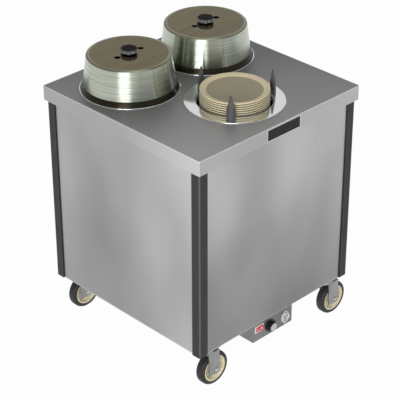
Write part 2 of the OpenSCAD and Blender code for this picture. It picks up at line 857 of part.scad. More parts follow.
module fork(sx, sy) {
    high = fork_top - swivel_h - wheel_r;
    color(grey_plate) at_caster(sx, sy) difference() {
        union() {
            translate([trail, 0, wheel_r]) for (side = [-1, 1]) fork_leg(side, high);
            translate([trail - leg_left, -fork_w / 2 + leg_flare, wheel_r + high - crown_t])
                cube([leg_left + leg_right, fork_w - 2 * leg_flare, crown_t]);
            translate([0, 0, fork_top - swivel_h - crown_t]) cylinder(r = swivel_r, h = swivel_h + crown_t);
            translate([0, 0, fork_top - cut])
                cylinder(r = kingpin_r, h = panel_bottom - fork_top - kingpin_head_gap + cut);
        }
        translate([trail, fork_w, wheel_r]) rotate([90, 0, 0])
            cylinder(r = axle_r + run_gap, h = 2 * fork_w);
    }
}

module fork_front_left() { fork(-1, -1); }
module fork_front_right() { fork(1, -1); }
module fork_rear_left() { fork(-1, 1); }
module fork_rear_right() { fork(1, 1); }

module axle(sx, sy) {
    color(mirror_steel) at_axle(sx, sy) {
        translate([0, 0, -fork_w / 2 - axle_head_t]) cylinder(r = axle_r, h = fork_w + 2 * axle_head_t);
        for (s = [-1, 1]) scale([1, 1, s]) translate([0, 0, fork_w / 2])
            cylinder(r1 = axle_head_r, r2 = axle_r, h = axle_head_t);
    }
}

module axle_front_left() { axle(-1, -1); }
module axle_front_right() { axle(1, -1); }
module axle_rear_left() { axle(-1, 1); }
module axle_rear_right() { axle(1, 1); }

// Half section of a hub: rim, dished web and boss
module hub_section() {
    bore = axle_r + run_gap;
    rim = wheel_w / 2 - hub_rim_in;
    web = hub_web_w / 2;
    boss = fork_w / 2 - fork_t - hub_boss_gap;
    web_out = hub_r - hub_rim_t - hub_web_slope;
    polygon([[bore, -boss], [hub_boss_r, -boss], [hub_boss_r + hub_web_slope, -web], [web_out, -web],
        [hub_r - hub_rim_t, -rim], [hub_r, -rim], [hub_r, rim], [hub_r - hub_rim_t, rim],
        [web_out, web], [hub_boss_r + hub_web_slope, web], [hub_boss_r, boss], [bore, boss]]);
}

module hub(sx, sy) {
    color(beige) at_axle(sx, sy) rotate_extrude() hub_section();
}

module hub_front_left() { hub(-1, -1); }
module hub_front_right() { hub(1, -1); }
module hub_rear_left() { hub(-1, 1); }
module hub_rear_right() { hub(1, 1); }

module tyre(sx, sy) {
    half = wheel_w / 2;
    color(black) at_axle(sx, sy) rotate_extrude() {
        translate([hub_r, -half]) square([wheel_r - tyre_edge_r - hub_r, wheel_w]);
        translate([hub_r, -half + tyre_edge_r]) square([wheel_r - hub_r, wheel_w - 2 * tyre_edge_r]);
        for (s = [-1, 1]) translate([wheel_r - tyre_edge_r, s * (half - tyre_edge_r)]) intersection() {
            circle(r = tyre_edge_r);
            translate([hub_r - wheel_r + tyre_edge_r, -tyre_edge_r])
                square([2 * tyre_edge_r, 2 * tyre_edge_r]);
        }
    }
}

module tyre_front_left() { tyre(-1, -1); }
module tyre_front_right() { tyre(1, -1); }
module tyre_rear_left() { tyre(-1, 1); }
module tyre_rear_right() { tyre(1, 1); }

// Control box: a tray under the base pan, with lips that screw to it
module control_box() {
    face = [0, -control_y - cut, 0];
    through = control_sheet + 2 * cut;
    color(grey_plate) difference() {
        union() {
            translate([-control_w / 2, -control_y, control_bottom])
                cube([control_w, control_d, control_h]);
            translate([-control_w / 2 - control_lip, -control_y, panel_bottom - control_sheet])
                cube([control_w + 2 * control_lip, control_d + control_lip, control_sheet]);
        }
        translate([0, control_d / 2 - control_y, control_bottom + control_sheet])
            centred_box(control_w - 2 * control_sheet, control_d - 2 * control_sheet, control_h);
        translate([switch_x, -control_y - cut, controls_h + switch_lift]) translate([0, through / 2, 0])
            cube([switch_body_w + 2 * free_gap, through, switch_body_h + 2 * free_gap], center = true);
        translate(face + [dial_x, 0, controls_h]) rotate([-90, 0, 0])
            cylinder(r = thermo_bush_r + free_gap, h = through);
        translate(face + [inlet_x, 0, controls_h]) rotate([-90, 0, 0])
            cylinder(r = inlet_core_r + free_gap, h = through);
    }
}

module at_switch() {
    translate([switch_x, rocker_deep - control_y, controls_h + switch_lift]) children();
}

// Rocker switch: bezel and body, with a pocket and two bores for the rocker's pins
module switch_frame() {
    bezel_y = -rocker_deep - switch_frame_t;
    pocket_y = rocker_floor - bezel_y + cut;
    color("whitesmoke") at_switch() difference() {
        union() {
            translate([0, bezel_y + switch_frame_t / 2, 0])
                cube([switch_w, switch_frame_t, switch_h], center = true);
            translate([0, switch_body_d / 2 - rocker_deep, 0])
                cube([switch_body_w, switch_body_d, switch_body_h], center = true);
        }
        translate([0, bezel_y - cut + pocket_y / 2, 0])
            cube([rocker_w + 2 * rocker_end_gap, pocket_y, rocker_h + 2 * rocker_side_gap], center = true);
        cylinder(r = rocker_pin_r + run_gap, h = switch_h, center = true);
    }
}

// Rocker, tipped to its off side at rest
module rocker() {
    half = rocker_w / 2;
    color("firebrick") at_switch() rotate([0, 0, -rocker_tilt]) {
        translate([0, 0, -rocker_h / 2]) linear_extrude(rocker_h)
            polygon([[-half, rocker_back], [-half, -rocker_end], [0, -rocker_mid],
                [half, -rocker_end], [half, rocker_back]]);
        cylinder(r = rocker_pin_r, h = rocker_h + 2 * rocker_pin_len, center = true);
    }
}

module at_dial() {
    translate([dial_x, -control_y, controls_h]) rotate([90, 0, 0]) children();
}

// Thermostat body behind the face, with its bush and the bore for the knob's shaft
module thermostat() {
    color(grey_plate) at_dial() difference() {
        union() {
            translate([0, 0, -control_sheet - thermo_d]) centred_box(thermo_w, thermo_h, thermo_d);
            translate([0, 0, -control_sheet - cut]) cylinder(r = thermo_bush_r, h = control_sheet + cut);
        }
        translate([0, 0, -control_sheet - thermo_d - cut])
            cylinder(r = dial_shaft_r + run_gap, h = control_sheet + thermo_d + 2 * cut);
    }
}

// Thermostat knob: thin skirt, fluted body and shaft
module thermostat_knob() {
    body_h = dial_h - dial_skirt_t - dial_cap_t - dial_gap;
    color(black) at_dial() translate([0, 0, dial_gap]) {
        cylinder(r = dial_skirt_r, h = dial_skirt_t);
        difference() {
            translate([0, 0, dial_skirt_t]) cylinder(r1 = dial_body_r, r2 = dial_face_r, h = body_h);
            ring_of(dial_flutes) translate([dial_body_r, 0, dial_skirt_t])
                cylinder(r = dial_flute_r, h = body_h + cut);
        }
        translate([0, 0, -dial_shaft_len]) cylinder(r = dial_shaft_r, h = dial_shaft_len + cut);
    }
}

module thermostat_cap() {
    color("silver") at_dial() translate([0, 0, dial_h - dial_cap_t])
        cylinder(r1 = dial_cap_r, r2 = dial_cap_r - dial_cap_t / 2, h = dial_cap_t);
}

// Power inlet: eared flange, collar with a recess, two blades and an earth pin
module power_inlet() {
    color("white") translate([inlet_x, -control_y, controls_h]) rotate([90, 0, 0]) {
        difference() {
            union() {
                cylinder(r = inlet_flange_r, h = inlet_flange_t);
                for (s = [-1, 1]) translate([0, s * inlet_ear_z, 0])
                    cylinder(r = inlet_ear_r, h = inlet_flange_t);
                cylinder(r = inlet_r, h = inlet_h);
            }
            translate([0, 0, inlet_flange_t]) cylinder(r = inlet_r - inlet_lip, h = inlet_h);
            for (s = [-1, 1]) translate([0, s * inlet_ear_z, -cut])
                cylinder(r = inlet_screw_r, h = inlet_flange_t + 2 * cut);
        }
        translate([0, 0, -inlet_body_d]) cylinder(r = inlet_core_r, h = inlet_body_d + cut);
        for (s = [-1, 1]) translate([s * blade_x, blade_rise, inlet_flange_t - cut])
            centred_box(blade_t, blade_w, blade_out);
        translate([0, -ground_z, inlet_flange_t - cut]) cylinder(r = ground_r, h = blade_out);
    }
}

function element_x(i) = (i - (element_runs - 1) / 2) * element_pitch;

// Sheathed heating element: straight runs, half-round bends and two upright ends
module heating_element() {
    color(grey_plate) translate([0, element_start_y, element_z]) {
        for (i = [0 : element_runs - 1])
            translate([element_x(i), 0, 0]) rotate([-90, 0, 0]) cylinder(r = element_r, h = element_run);
        for (i = [0 : element_runs - 2]) {
            far = i % 2 == 0;
            translate([element_x(i) + element_pitch / 2, far ? element_run : 0, 0])
                rotate([0, 0, far ? 0 : 180]) rotate_extrude(angle = 180)
                    translate([element_pitch / 2, 0]) circle(r = element_r);
        }
        for (i = [0, element_runs - 1]) translate([element_x(i), 0, -element_elbow_r]) {
            rotate([90, 0, -90]) rotate_extrude(angle = 90)
                translate([element_elbow_r, 0]) circle(r = element_r);
            translate([0, -element_elbow_r, element_elbow_r - element_lift - terminal_drop])
                cylinder(r = element_r, h = element_lift + terminal_drop - element_elbow_r);
        }
    }
}

// Brackets that stand on the base pan and carry the element's runs
module element_brackets() {
    w = element_runs * element_pitch;
    color(grey_plate) for (s = bracket_place_shares)
        translate([0, element_start_y + element_run * s, pan_top]) difference() {
            union() {
                centred_box(w, bracket_t, element_lift + bracket_over);
                translate([0, bracket_foot / 2, 0]) centred_box(w, bracket_foot, bracket_t);
            }
            for (i = [0 : element_runs - 1]) translate([element_x(i), 0, element_lift])
                rotate([90, 0, 0]) cylinder(r = element_r + run_gap, h = 2 * bracket_t, center = true);
        }
}

deck();
front_panel();
rear_panel();
left_panel();
right_panel();
base_pan();
corner_posts();
bumper_front_left();
bumper_front_right();
bumper_rear_left();
bumper_rear_right();
ring_front();
ring_left();
ring_right();
tube_front();
tube_left();
tube_right();
guides_front();
guides_left();
guides_right();
carrier_front();
carrier_left();
carrier_right();
springs_front();
springs_left();
springs_right();
plates();
cover_left();
cover_right();
cover_knob_left();
cover_knob_right();
knob_screw_left();
knob_screw_right();
caster_plates();
caster_bolts();
fork_front_left();
fork_front_right();
fork_rear_left();
fork_rear_right();
axle_front_left();
axle_front_right();
axle_rear_left();
axle_rear_right();
hub_front_left();
hub_front_right();
hub_rear_left();
hub_rear_right();
tyre_front_left();
tyre_front_right();
tyre_rear_left();
tyre_rear_right();
control_box();
switch_frame();
rocker();
thermostat();
thermostat_knob();
thermostat_cap();
power_inlet();
heating_element();
element_brackets();
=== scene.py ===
# %% [markdown]
# A plate dispenser cart, dressed around its CAD model. The CAD model already holds every piece at its
# real size, so this script gives each piece its finish, adds the small pieces that only matter to the
# eye, and lights the whole thing. Everything is in metres, with the floor at zero and -Y at the front.

# %% Load the frame
import json
import math

import bmesh
import bpy
from mathutils import Matrix, Vector


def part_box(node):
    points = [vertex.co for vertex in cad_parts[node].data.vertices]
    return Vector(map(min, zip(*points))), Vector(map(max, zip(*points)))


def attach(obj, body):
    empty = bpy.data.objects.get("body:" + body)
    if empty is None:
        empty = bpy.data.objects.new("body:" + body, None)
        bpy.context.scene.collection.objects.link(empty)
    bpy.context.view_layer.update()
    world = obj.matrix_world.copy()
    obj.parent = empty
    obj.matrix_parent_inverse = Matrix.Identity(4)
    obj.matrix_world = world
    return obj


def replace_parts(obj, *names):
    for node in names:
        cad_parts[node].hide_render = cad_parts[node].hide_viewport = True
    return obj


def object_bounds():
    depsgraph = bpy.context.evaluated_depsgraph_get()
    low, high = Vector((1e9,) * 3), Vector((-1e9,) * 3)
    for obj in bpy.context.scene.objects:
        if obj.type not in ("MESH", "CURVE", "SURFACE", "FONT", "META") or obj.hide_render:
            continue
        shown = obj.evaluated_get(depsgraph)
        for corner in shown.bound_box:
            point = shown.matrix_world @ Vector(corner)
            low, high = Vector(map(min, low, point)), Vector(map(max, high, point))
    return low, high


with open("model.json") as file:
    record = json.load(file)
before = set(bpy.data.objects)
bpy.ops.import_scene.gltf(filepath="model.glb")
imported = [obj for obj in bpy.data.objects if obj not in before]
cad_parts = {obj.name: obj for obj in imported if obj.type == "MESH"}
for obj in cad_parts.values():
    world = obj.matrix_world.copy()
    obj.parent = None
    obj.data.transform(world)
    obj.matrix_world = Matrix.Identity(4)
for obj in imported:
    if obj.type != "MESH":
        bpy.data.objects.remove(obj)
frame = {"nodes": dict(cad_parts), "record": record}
cad_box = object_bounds()
nodes = frame["nodes"]
scene = bpy.context.scene
scene.view_settings.view_transform = "Standard"
print("CAD box", [tuple(round(v, 4) for v in corner) for corner in cad_box])

# %% [markdown]
# The camera comes first, because every later choice is judged through it. It stands front left and
# looks down on the deck. Its numbers come from fitting a perspective view to the cart's corners, and a
# small roll is part of that fit. The other way is to nudge a camera by hand until it looks right, which
# never quite closes.

# %% Camera
AZIMUTH = math.radians(44.456)
ELEVATION = math.radians(30.493)
ROLL = math.radians(-0.1876)
LENS_MM = 141.53
camera_place = Vector((-3.36329, -3.42080, 3.29532))

look = Vector((math.sin(AZIMUTH) * math.cos(ELEVATION), math.cos(AZIMUTH) * math.cos(ELEVATION),
               -math.sin(ELEVATION)))
level_right = look.cross(Vector((0, 0, 1))).normalized()
level_up = level_right.cross(look)
right = level_right * math.cos(ROLL) + level_up * math.sin(ROLL)
up = level_up * math.cos(ROLL) - level_right * math.sin(ROLL)

camera_data = bpy.data.cameras.new("camera")
camera_data.lens = LENS_MM
camera_data.sensor_width = 36
camera_data.clip_end = 60
camera = bpy.data.objects.new("camera", camera_data)
camera.matrix_world = Matrix.Translation(camera_place) @ Matrix((right, up, -look)).transposed().to_4x4()
scene.collection.objects.link(camera)
scene.camera = camera
print("camera at", tuple(round(v, 3) for v in camera_place))

# %% [markdown]
# A material here is a Principled shader with a few textures in front of it. These helpers keep each
# recipe short: one starts a material and hands back its parts, one adds a node and links its inputs,
# one turns noise into a number between two bounds, and one picks between two numbers. Every pattern reads
# Object coordinates or the object's own normals, so it stays on the metal when the camera or a joint moves.

# %% Material helpers


class Recipe:
    """A material being made: its node tree, its shader and its object coordinates."""

    def __init__(self, name, color, roughness, metallic=0.0):
        self.material = bpy.data.materials.new(name)
        self.material.use_nodes = True
        self.tree = self.material.node_tree
        self.shader = self.tree.nodes["Principled BSDF"]
        self.shader.inputs["Base Color"].default_value = (*color, 1)
        self.shader.inputs["Roughness"].default_value = roughness
        self.shader.inputs["Metallic"].default_value = metallic
        self.coords = self.tree.nodes.new("ShaderNodeTexCoord").outputs["Object"]

    def node(self, kind, inputs=(), **settings):
        made = self.tree.nodes.new(kind)
        for key, value in settings.items():
            setattr(made, key, value)
        for key, value in dict(inputs).items():
            socket = made.inputs[key]
            if isinstance(value, bpy.types.NodeSocket):
                self.tree.links.new(value, socket)
            else:
                socket.default_value = value
        return made

    def stretched(self, scale):
        """Object coordinates times scale, so that noise draws out along the small one."""
        return self.node("ShaderNodeMapping", {"Vector": self.coords, "Scale": scale}).outputs["Vector"]

    def noise(self, vector, scale=1.0, detail=2.0, roughness=0.5):
        wanted = {"Vector": vector, "Scale": scale, "Detail": detail, "Roughness": roughness}
        return self.node("ShaderNodeTexNoise", wanted).outputs["Fac"]

    def spread(self, value, low, high, first=0.3, last=0.7):
        """value, which runs from first to last, as a number from low to high."""
        wanted = {"Value": value, "From Min": first, "From Max": last, "To Min": low, "To Max": high}
        return self.node("ShaderNodeMapRange", wanted, clamp=True).outputs["Result"]

    def math(self, operation, a, b=0.0):
        return self.node("ShaderNodeMath", {0: a, 1: b}, operation=operation).outputs[0]

    def times(self, a, b):
        return self.math("MULTIPLY", a, b)

    def blend(self, factor, first, second):
        """The number first where factor is 0, and second where it is 1."""
        rest = self.math("SUBTRACT", 1.0, factor)
        return self.math("ADD", self.times(rest, first), self.times(factor, second))

    def part(self, vector, axis):
        return self.node("ShaderNodeSeparateXYZ", {"Vector": vector}).outputs[axis]

    def place(self, axis):
        """The place along one axis, in metres."""
        return self.part(self.coords, axis)

    def facing(self, axis):
        """1 where the surface looks straight along an axis, either way, and 0 where it lies along it."""
        return self.math("ABSOLUTE", self.part(self.node("ShaderNodeTexCoord").outputs["Normal"], axis))

    def mix(self, factor, a, b, blend="MIX"):
        made = self.node("ShaderNodeMix", data_type="RGBA", blend_type=blend)
        for key, value in (("Factor", factor), ("A", a), ("B", b)):
            socket = [s for s in made.inputs if s.name == key and s.enabled][0]
            if isinstance(value, bpy.types.NodeSocket):
                self.tree.links.new(value, socket)
            else:
                socket.default_value = (*value, 1) if isinstance(value, tuple) else value
        return [s for s in made.outputs if s.enabled][0]

    def shade(self, color, factor):
        """A colour times a number that may come from a node."""
        grey = self.node("ShaderNodeCombineColor", {"Red": factor, "Green": factor, "Blue": factor})
        return self.mix(1.0, color, grey.outputs["Color"], blend="MULTIPLY")

    def feed(self, socket, value):
        self.tree.links.new(value, self.shader.inputs[socket])

    def bump(self, height, depth, strength=1.0):
        made = self.node("ShaderNodeBump", {"Height": height, "Strength": strength, "Distance": depth})
        self.feed("Normal", made.outputs["Normal"])


# %% [markdown]
# The cabinet is stainless sheet, which is not one grey. The mill leaves a fine grain in one direction,
# and the sheet is never quite flat, so what it reflects drifts from light to dark in broad soft patches.
# Stretched noise gives the grain. Slow noise, turned so that no patch lines up with an edge, gives the
# patches. The grain is put in the bump, in the roughness and, faintly, in the colour.

# %% Sheet steel
ALONG_X = (6, 500, 500)
ALONG_Z = (500, 500, 6)
CLOUD_TURN = (math.radians(40), math.radians(-35), 0)
CLOUD_STRETCH = (1.0, 1.0, 0.45)
GRAIN_TONE = 0.04
GRAIN_ROUGHNESS = 0.03
CLOUD_ROUGHNESS = 0.06
GRAIN_DEPTH = 0.00006


def sheet_steel(name, color, roughness, grain, patch_size, patch, painted_light=None):
    """Stainless sheet whose grain runs along the axis where grain is small, with patches patch_size
    across that vary its tone by patch. painted_light is a function that gives one more factor for the tone,
    which paints light and shade on it."""
    r = Recipe(name, color, roughness, metallic=1.0)
    lines = r.noise(r.stretched(grain), 1.0, 3.0, 0.6)
    slant = {"Vector": r.coords, "Rotation": CLOUD_TURN, "Scale": CLOUD_STRETCH}
    clouds = r.noise(r.node("ShaderNodeMapping", slant).outputs["Vector"], 1 / patch_size, 1.5, 0.4)
    tone = r.times(r.spread(lines, 1 - GRAIN_TONE, 1 + GRAIN_TONE), r.spread(clouds, 1 - patch, 1 + patch))
    if painted_light:
        tone = r.times(tone, painted_light(r))
    r.feed("Base Color", r.shade(color, tone))
    drift = r.spread(clouds, roughness + CLOUD_ROUGHNESS, roughness - CLOUD_ROUGHNESS)
    r.feed("Roughness", r.math("ADD", r.spread(lines, -GRAIN_ROUGHNESS, GRAIN_ROUGHNESS), drift))
    r.bump(lines, GRAIN_DEPTH, 0.5)
    return r.material


finishes = {
    "silo_steel": sheet_steel("silo_steel", (0.62, 0.64, 0.68), 0.25, ALONG_Z, 0.2, 0.08),
    "inner_steel": sheet_steel("inner_steel", (0.42, 0.43, 0.44), 0.45, ALONG_X, 0.05, 0.12),
    "caster_steel": sheet_steel("caster_steel", (0.31, 0.31, 0.315), 0.38, ALONG_Z, 0.03, 0.10),
    "box_steel": sheet_steel("box_steel", (0.225, 0.225, 0.227), 0.42, ALONG_X, 0.2, 0.10),
    "heater_sheath": sheet_steel("heater_sheath", (0.20, 0.18, 0.16), 0.5, ALONG_X, 0.05, 0.25),
}
print("plain sheet finishes", sorted(finishes))

# %% [markdown]
# Light and shade are painted into the deck's tone. Its turned-down flange is painted brighter than the level
# top, and the bend between them carries a painted highlight. The top is painted slowly darker away from the
# front left corner, and the flange's left and right sides are painted brightest near the front. All of it
# follows from the place on the deck and the way the surface faces, so it needs no image map.

# %% Painted light on the deck
DECK_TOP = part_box("deck")[1].z
BEND_R = 0.003
BEND_HIGHLIGHT = 0.9
FLANGE_LIGHT = 1.37
FAR_WAY = (0.8, 0.6, 0.0)
FAR_REACH = 0.45
NEAR_LIGHT = 1.25
FAR_SHADE = 0.66
CORNER_LIGHT = 0.36
CORNER_REACH = 0.35
FRONT_Y = cad_box[0].y


# Every factor this gives is painted light and shade: a brighter flange, a highlight on the bend, and shade
# away from the front left corner.
def deck_painted_light(r):
    height = r.place("Z")
    is_flange = r.spread(height, 1.0, 0.0, DECK_TOP - BEND_R, DECK_TOP)
    bend = r.times(r.spread(height, 0.0, 1.0, DECK_TOP - BEND_R * 1.3, DECK_TOP - BEND_R),
                   r.spread(height, 1.0, 0.0, DECK_TOP - BEND_R * 0.25, DECK_TOP))
    far = r.node("ShaderNodeVectorMath", {0: r.coords, 1: FAR_WAY}, operation="DOT_PRODUCT")
    level = r.spread(far.outputs["Value"], NEAR_LIGHT, FAR_SHADE, -FAR_REACH, FAR_REACH)
    painted_light = r.math("ADD", r.blend(is_flange, level, FLANGE_LIGHT), r.times(bend, BEND_HIGHLIGHT))
    near = r.spread(r.place("Y"), CORNER_LIGHT, 0.0, FRONT_Y, FRONT_Y + CORNER_REACH)
    return r.times(painted_light, r.math("ADD", 1.0, r.times(r.facing("X"), near)))


finishes["deck_steel"] = sheet_steel("deck_steel", (0.35, 0.35, 0.353), 0.52, ALONG_X, 0.6, 0.06, deck_painted_light)
print("deck top at", round(DECK_TOP, 4))

# %% [markdown]
# Light and shade are painted into the panels' tone. The front and back panels are painted a little darker
# than the side ones, and every panel is painted darker toward its foot. The side panels are also painted
# brighter toward the front, as the flange above them is, and the front one is painted a little darker toward
# its right end. The hem that is folded under each panel carries a painted highlight, a thin bright line.

# %% Painted light on the panels
PANEL_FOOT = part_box("front_panel")[0].z
HEM_H = 0.004
HEM_HIGHLIGHT = 1.45
FRONT_BACK_SHADE = 0.96
FOOT_SHADE_FROM = 0.2
FOOT_SHADE_TO = 0.6
FACE_FOOT_SHADE = 0.62
SIDE_FOOT_SHADE = 0.80
RIGHT_END_SHADE = 0.88
RIGHT_FROM = 0.05
RIGHT_TO = 0.38
SIDE_FRONT_LIGHT = 1.25
SIDE_BACK_SHADE = 0.84
SIDE_TURN = 0.1


# Every factor this gives is painted light and shade, with a painted highlight on the hem.
def panel_painted_light(r):
    height = r.place("Z")
    face = r.times(r.spread(height, FRONT_BACK_SHADE * FACE_FOOT_SHADE, FRONT_BACK_SHADE, FOOT_SHADE_FROM, FOOT_SHADE_TO),
                   r.spread(r.place("X"), 1.0, RIGHT_END_SHADE, RIGHT_FROM, RIGHT_TO))
    side = r.times(r.spread(r.place("Y"), SIDE_FRONT_LIGHT, SIDE_BACK_SHADE, FRONT_Y, SIDE_TURN),
                   r.spread(height, SIDE_FOOT_SHADE, 1.0, FOOT_SHADE_FROM, FOOT_SHADE_TO))
    hem = r.spread(height, HEM_HIGHLIGHT, 1.0, PANEL_FOOT + HEM_H * 0.8, PANEL_FOOT + HEM_H)
    return r.times(r.blend(r.facing("Y"), side, face), hem)


finishes["panel_steel"] = sheet_steel("panel_steel", (0.455, 0.455, 0.457), 0.36, ALONG_Z, 0.28, 0.2,
                                      panel_painted_light)
print("panels' foot at", round(PANEL_FOOT, 4))

# %% [markdown]
# The covers are spun from sheet, so the tool leaves rings round the skirt, while the flat top keeps the
# straight grain of the sheet it was cut from. One material does both: it takes the height on the cover
# to choose between the level grain of the skirt and the straight grain of the top. The deeper olive of
# what faces up is a painted reflection, the paler shoulder between them is a painted reflection too, and
# the dark rolled rim at the foot is painted shade.

# %% Cover steel
SKIRT_COLOR = (0.46, 0.495, 0.42)
# The olive and shoulder colours are painted reflection, and the rim colour is painted shade.
OLIVE_REFLECTION = (0.160, 0.136, 0.070)
SHOULDER_REFLECTION = (0.30, 0.30, 0.22)
RIM_SHADE = (0.05, 0.045, 0.030)
SKIRT_ROUGHNESS = 0.24
TOP_ROUGHNESS = 0.09
SKIRT_STRETCH = 0.88
TOP_STRETCH = 0.5
cover_low, cover_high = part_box("cover_left")
TOP_FROM = cover_high.z - 0.00004
SHOULDER_FROM = cover_high.z - 0.005
SHOULDER_FULL = cover_high.z - 0.0035
RIM_FULL = cover_low.z + 0.0175
RIM_TO = cover_low.z + 0.0195


def cover_steel():
    r = Recipe("cover_steel", SKIRT_COLOR, SKIRT_ROUGHNESS, metallic=1.0)
    height = r.place("Z")
    is_top = r.math("GREATER_THAN", height, TOP_FROM)
    is_shoulder = r.spread(height, 0.0, 1.0, SHOULDER_FROM, SHOULDER_FULL)
    is_rim = r.spread(height, 1.0, 0.0, RIM_FULL, RIM_TO)
    rings = r.noise(r.stretched((4, 4, 300)), 1.0, 4.0, 0.65)
    lines = r.noise(r.stretched((3, 190, 190)), 1.0, 5.0, 0.7)
    skirt = r.shade(SKIRT_COLOR, r.spread(rings, 0.76, 1.24))
    rim = r.shade(RIM_SHADE, r.spread(rings, 0.6, 1.4))
    shoulder = r.shade(SHOULDER_REFLECTION, r.spread(rings, 0.8, 1.2))
    top = r.shade(OLIVE_REFLECTION, r.spread(lines, 0.72, 1.28))
    side = r.mix(is_shoulder, r.mix(is_rim, skirt, rim), shoulder)
    r.feed("Base Color", r.mix(is_top, side, top))
    r.feed("Roughness", r.spread(is_top, SKIRT_ROUGHNESS, TOP_ROUGHNESS, 0.0, 1.0))
    r.bump(r.blend(is_top, rings, lines), 0.00010, 0.6)
    across = r.node("ShaderNodeCombineXYZ", {"Y": is_top, "Z": r.math("SUBTRACT", 1.0, is_top)})
    r.feed("Tangent", across.outputs["Vector"])
    r.feed("Anisotropic", r.spread(is_top, SKIRT_STRETCH, TOP_STRETCH, 0.0, 1.0))
    return r.material


finishes["cover_steel"] = cover_steel()
print("covers from", round(cover_low.z, 4), "to", round(cover_high.z, 4))

# %% [markdown]
# The rings, springs and axles are bright metal. A mirror finish still shows hairlines from wiping, so a
# little fine noise goes into the roughness and nothing into the colour. The crest of the rings' low lip
# is darker, because it mirrors the inside of the silo.

# %% Bright metal
CAP_FADE = 0.0002


def bright_metal(name, color, roughness, wear, cap=None):
    """cap is a height and a factor: above that height the colour is multiplied by that factor."""
    r = Recipe(name, color, roughness, metallic=1.0)
    hairs = r.noise(r.stretched((40, 40, 40)), 1.0, 5.0, 0.7)
    if cap:
        start, factor = cap
        r.feed("Base Color", r.shade(color, r.spread(r.place("Z"), 1.0, factor, start - CAP_FADE, start)))
    r.feed("Roughness", r.spread(hairs, roughness, roughness + wear))
    r.bump(hairs, 0.00002, 0.2)
    return r.material


LIP_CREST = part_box("ring_front")[1].z - 0.0007
finishes["ring_steel"] = bright_metal("ring_steel", (0.88, 0.89, 0.90), 0.07, 0.03, (LIP_CREST, 0.3))
finishes["spring_wire"] = bright_metal("spring_wire", (0.55, 0.55, 0.57), 0.18, 0.1)
finishes["axle_steel"] = bright_metal("axle_steel", (0.50, 0.49, 0.45), 0.4, 0.1)
finishes["cap_metal"] = bright_metal("cap_metal", (0.52, 0.52, 0.53), 0.25, 0.1)
print("rings' crest from", round(LIP_CREST, 4))

# %% [markdown]
# Mouldings and rubber reflect little, and what tells them apart is how the light breaks up on them. Each
# gets a fine bump at the size of its mould texture, and a slow drift in roughness where hands or wear
# have polished it. The tops of the covers' knobs are painted blacker and less shiny, as shade, and the
# bumpers carry a pale painted highlight down the corner that meets the door frames.

# %% Mouldings and rubber
CORNER_HIGHLIGHT_FADE = 0.0006


def moulding(name, color, roughness, texture_size, depth, drift=0.06, coat=0.0, shine=0.35, cap=None,
             corner_highlight=None):
    """cap is a height and a factor: above that height colour and shine are multiplied by that factor, which
    paints shade on a top.
    corner_highlight does the same to the colour past a reach from the cart's middle, across plus along, which
    paints a highlight down a corner."""
    r = Recipe(name, color, roughness)
    fine = r.noise(r.coords, 1 / texture_size, 2.0, 0.5)
    slow = r.noise(r.coords, 18.0, 2.0, 0.5)
    tone = r.spread(slow, 0.93, 1.07)
    r.shader.inputs["Coat Weight"].default_value = coat
    r.shader.inputs["Coat Roughness"].default_value = 0.08
    r.shader.inputs["Specular IOR Level"].default_value = shine
    if cap:
        start, factor = cap
        fade = r.spread(r.place("Z"), 1.0, factor, start - CAP_FADE, start)
        tone = r.times(tone, fade)
        r.feed("Specular IOR Level", r.times(shine, fade))
    if corner_highlight:
        start, factor = corner_highlight
        reach = r.math("ADD", r.math("ABSOLUTE", r.place("X")), r.math("ABSOLUTE", r.place("Y")))
        tone = r.times(tone, r.spread(reach, 1.0, factor, start - CORNER_HIGHLIGHT_FADE, start))
    r.feed("Base Color", r.shade(color, tone))
    r.feed("Roughness", r.spread(slow, roughness - drift, roughness + drift))
    r.bump(fine, depth, 0.5)
    return r.material


finishes["guide_plastic"] = moulding("guide_plastic", (0.07, 0.07, 0.073), 0.20, 0.0012, 0.00003, shine=0.5)
finishes["black_plastic"] = moulding("black_plastic", (0.012, 0.012, 0.013), 0.28, 0.001, 0.00002)
finishes["tyre_rubber"] = moulding("tyre_rubber", (0.017, 0.017, 0.018), 0.5, 0.002, 0.0001)
finishes["hub_plastic"] = moulding("hub_plastic", (0.62, 0.56, 0.38), 0.38, 0.0015, 0.00004)
finishes["white_plastic"] = moulding("white_plastic", (0.74, 0.74, 0.73), 0.3, 0.001, 0.00003)
finishes["red_plastic"] = moulding("red_plastic", (0.52, 0.030, 0.030), 0.22, 0.001, 0.00002, 0.04, 0.4)
# The knobs' tops are painted darker and less shiny, as shade.
knob_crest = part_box("cover_knob_left")[1].z - 0.0012
finishes["knob_plastic"] = moulding("knob_plastic", (0.12, 0.12, 0.123), 0.28, 0.001, 0.00002, shine=0.4,
                                    cap=(knob_crest, 0.06))
BUMPER_ROUND = 0.008
CORNER_HIGHLIGHT_W = 0.0005
bumper_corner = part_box("bumper_rear_right")[1]
# Both sides, less what the rounding takes off the corner, less the width of the painted highlight
corner_highlight_from = bumper_corner.x + bumper_corner.y - (2 - math.sqrt(2)) * BUMPER_ROUND - CORNER_HIGHLIGHT_W
# The bumpers' pale corner is a painted highlight.
finishes["bumper_rubber"] = moulding("bumper_rubber", (0.018, 0.018, 0.019), 0.48, 0.0015, 0.00008,
                                     corner_highlight=(corner_highlight_from, 4.0))
print("bumpers are highlighted past", round(corner_highlight_from, 4))

# %% [markdown]
# The power inlet is one node in the CAD model, but the real one is a plastic body round three metal pins.
# The pins are the only thing inside the collar that stands above the floor of its recess, so two tests of
# place find them: near the inlet's axis, and out past that floor. They turn the shader metallic there. The
# flange outside the collar is a little greyer than the body.

